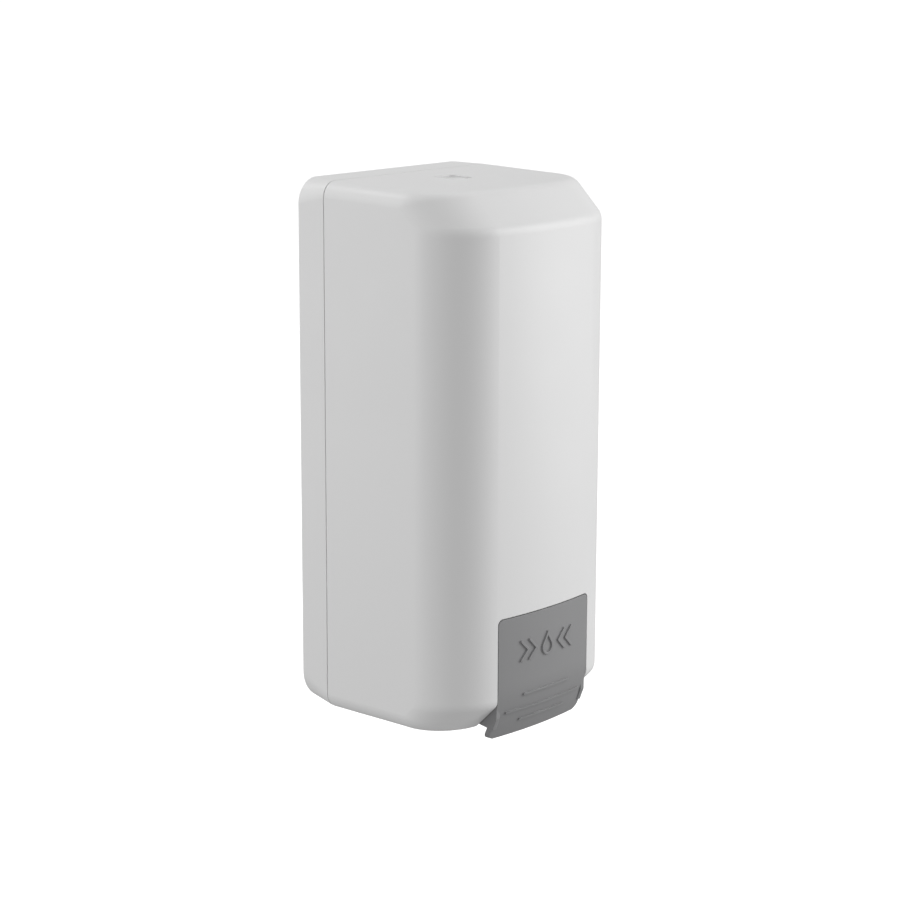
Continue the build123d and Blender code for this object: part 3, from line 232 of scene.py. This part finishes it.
def edge_mask(tree):
    """Where the surface turns sharply, from 0 on the flat to 1 on an edge, and the rounded normal there."""
    rounded = tree.nodes.new("ShaderNodeBevel")
    rounded.samples = EDGE_SAMPLES
    rounded.inputs["Radius"].default_value = EDGE_RADIUS
    plain = tree.nodes.new("ShaderNodeNewGeometry")
    agree = tree.nodes.new("ShaderNodeVectorMath")
    agree.operation = "DOT_PRODUCT"
    tree.links.new(rounded.outputs[0], agree.inputs[0])
    tree.links.new(plain.outputs["Normal"], agree.inputs[1])
    mask = ranged(tree, agree.outputs["Value"], FLAT_AGREEMENT, EDGE_AGREEMENT, 0.0, 1.0)
    return mask, rounded.outputs[0]


def relief(tree, height, strength, distance):
    node = tree.nodes.new("ShaderNodeBump")
    node.inputs["Strength"].default_value = strength
    node.inputs["Distance"].default_value = distance
    tree.links.new(height, node.inputs["Height"])
    return node


def plastic(name, colour, roughness, grain=900.0, bump=0.02, variation=0.02, rough_swing=0.06,
            subsurface=0.0, coat=0.0, wear_and_highlight=0.03):
    """Moulded plastic: fine grain, faint flow marks, uneven gloss, and edges worn smoother and painted
    paler: partly real wear, partly a painted highlight.
    """
    material, tree, shader = start_material(name)
    link = tree.links.new
    where = tree.nodes.new("ShaderNodeTexCoord").outputs["Object"]
    flow = noise(tree, where, *FLOW)
    fine = noise(tree, where, grain, GRAIN_DETAIL)
    sharp_edges, rounded = edge_mask(tree)
    patches = ranged(tree, noise(tree, where, *PATCHES), *PATCH_SPREAD, LEAST_WEAR_AND_HIGHLIGHT, 1.0)
    edge_wear_and_highlight = arithmetic(tree, "MULTIPLY", sharp_edges, patches)
    shade = ranged(tree, flow, *NOISE_SPREAD, 1 - variation, 1 + variation)
    # edges painted paler: partly real wear, partly a painted highlight along edges and ribs
    paler_by_wear_and_highlight = arithmetic(tree, "ADD", shade, arithmetic(tree, "MULTIPLY", edge_wear_and_highlight, wear_and_highlight))
    tint = tree.nodes.new("ShaderNodeVectorMath")
    tint.operation = "SCALE"
    tint.inputs[0].default_value = colour
    link(paler_by_wear_and_highlight, tint.inputs["Scale"])
    link(tint.outputs[0], shader.inputs["Base Color"])
    swing = rough_swing / 2
    gloss = ranged(tree, fine, *NOISE_SPREAD, roughness - swing, roughness + swing)
    scuffs = ranged(tree, noise(tree, where, *SCUFFS), *SCUFF_SPREAD, 0.0, rough_swing)
    uneven = arithmetic(tree, "ADD", gloss, scuffs)
    smoother = arithmetic(tree, "MULTIPLY", edge_wear_and_highlight, WORN_GLOSS)
    link(arithmetic(tree, "SUBTRACT", uneven, smoother), shader.inputs["Roughness"])
    bumps = relief(tree, fine, bump, GRAIN_DEPTH)
    link(rounded, bumps.inputs["Normal"])
    link(bumps.outputs["Normal"], shader.inputs["Normal"])
    shader.inputs["Subsurface Weight"].default_value = subsurface
    shader.inputs["Subsurface Radius"].default_value = SUBSURFACE_DEPTH
    shader.inputs["Coat Weight"].default_value = coat
    return material


def metal(name, colour, roughness, brush=(400.0, 400.0, 400.0), bump=0.03):
    """Steel with fine drawn marks."""
    material, tree, shader = start_material(name)
    link = tree.links.new
    shader.inputs["Metallic"].default_value = 1.0
    shader.inputs["Base Color"].default_value = (*colour, 1)
    stretch = tree.nodes.new("ShaderNodeMapping")
    stretch.inputs["Scale"].default_value = brush
    link(tree.nodes.new("ShaderNodeTexCoord").outputs["Object"], stretch.inputs["Vector"])
    marks = noise(tree, stretch.outputs["Vector"], *BRUSH_MARKS)
    gloss = ranged(tree, marks, 0.0, 1.0, roughness - METAL_SWING, roughness + METAL_SWING)
    link(gloss, shader.inputs["Roughness"])
    link(relief(tree, marks, bump, BRUSH_DEPTH).outputs["Normal"], shader.inputs["Normal"])
    return material


MATERIALS = {
    "white_shell": plastic("white_shell", (0.90, 0.90, 0.90), 0.38, bump=0.04, variation=0.004),
    "back_shell": plastic("back_shell", (0.90, 0.90, 0.90), 0.38, bump=0.04, variation=0.004),
    # lever ribs and edges painted much paler: a painted highlight, beyond real wear
    "lever_grey": plastic("lever_grey", (0.30, 0.30, 0.305), 0.46, grain=1100, bump=0.10, wear_and_highlight=0.40),
    "button_white": plastic("button_white", (0.97, 0.97, 0.97), 0.08, bump=0.01, variation=0.004,
                            rough_swing=0.03, coat=1.0),
    "inner_white": plastic("inner_white", (0.78, 0.78, 0.77), 0.45, bump=0.06),
    "steel": metal("steel", (0.62, 0.63, 0.64), 0.28, brush=(2000, 60, 60)),
    "screw_steel": metal("screw_steel", (0.70, 0.70, 0.70), 0.20),
    "tank_milky": plastic("tank_milky", (0.82, 0.85, 0.84), 0.40, bump=0.08, variation=0.03,
                          subsurface=0.3),
    "lid_grey": plastic("lid_grey", (0.42, 0.43, 0.44), 0.42, bump=0.08),
    "rubber_black": plastic("rubber_black", (0.03, 0.03, 0.03), 0.62, bump=0.12, variation=0.05),
    "silicone": plastic("silicone", (0.70, 0.70, 0.68), 0.45, bump=0.04, subsurface=0.4),
}


# ---- pieces --------------------------------------------------------------------------
SLOTS = {part["node"]: part["material_slot"] for part in frame["record"]["subparts"]}
BODIES = {node: body for body, nodes in frame["record"]["behaviour"]["bodies"].items() for node in nodes}


def dress_cad():
    """Gives each CAD node its slot's finish."""
    for name, node in frame["nodes"].items():
        node.data.materials.clear()
        node.data.materials.append(MATERIALS[SLOTS[name]])


def place(piece, node, body):
    """Puts a piece in the scene with a node's finish, riding on a body."""
    bpy.context.scene.collection.objects.link(piece)
    piece.data.materials.clear()
    piece.data.materials.append(MATERIALS[SLOTS[node]])
    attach(piece, body)


def make_spring(node, axis):
    """A copy of a CAD spring in place of the hidden CAD node; its low end along the axis is found, but
    nothing shortens the copy.
    """
    low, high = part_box(node)
    anchor = [(low[i] + high[i]) / 2 for i in range(3)]
    anchor[axis] = low[axis]
    spring = bpy.data.objects.new(node + "_wire", frame["nodes"][node].data.copy())
    place(spring, node, BODIES[node])
    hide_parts(node)
    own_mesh(spring)


CROWN_INSET = 0.0003
CROWN_STEPS = 24
CROWN_HEIGHT = 0.0009
CROWN_POWER = 4                 # the higher, the flatter the middle and the steeper the sides


def make_lock_crown():
    """The lock button's crowned top: a low glossy pillow over its flat CAD face."""
    low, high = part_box("lock_button")
    shape = bmesh.new()
    bmesh.ops.create_grid(shape, x_segments=CROWN_STEPS, y_segments=CROWN_STEPS, size=1)
    middle = [(low[i] + high[i]) / 2 for i in range(2)]
    half = [(high[i] - low[i]) / 2 - CROWN_INSET for i in range(2)]
    for vert in shape.verts:
        rise = (1 - vert.co.x ** CROWN_POWER) * (1 - vert.co.y ** CROWN_POWER)
        across = middle[0] + vert.co.x * half[0]
        along = middle[1] + vert.co.y * half[1]
        vert.co = (across, along, high[2] + CROWN_HEIGHT * rise)
    skirt = bmesh.ops.extrude_edge_only(shape, edges=[e for e in shape.edges if e.is_boundary])
    bottom = [v for v in skirt["geom"] if isinstance(v, bmesh.types.BMVert)]
    for vert in bottom:
        vert.co.z -= CROWN_INSET
    bmesh.ops.contextual_create(shape, geom=[e for e in shape.edges if e.is_boundary])
    bmesh.ops.recalc_face_normals(shape, faces=shape.faces)
    for face in shape.faces:
        face.smooth = True
    mesh = bpy.data.meshes.new("lock_crown")
    shape.to_mesh(mesh)
    shape.free()
    place(bpy.data.objects.new("lock_crown", mesh), "lock_button", BODIES["lock_button"])


dress_cad()
make_spring("lock_spring", axis=2)
make_spring("pump_spring", axis=1)
make_lock_crown()
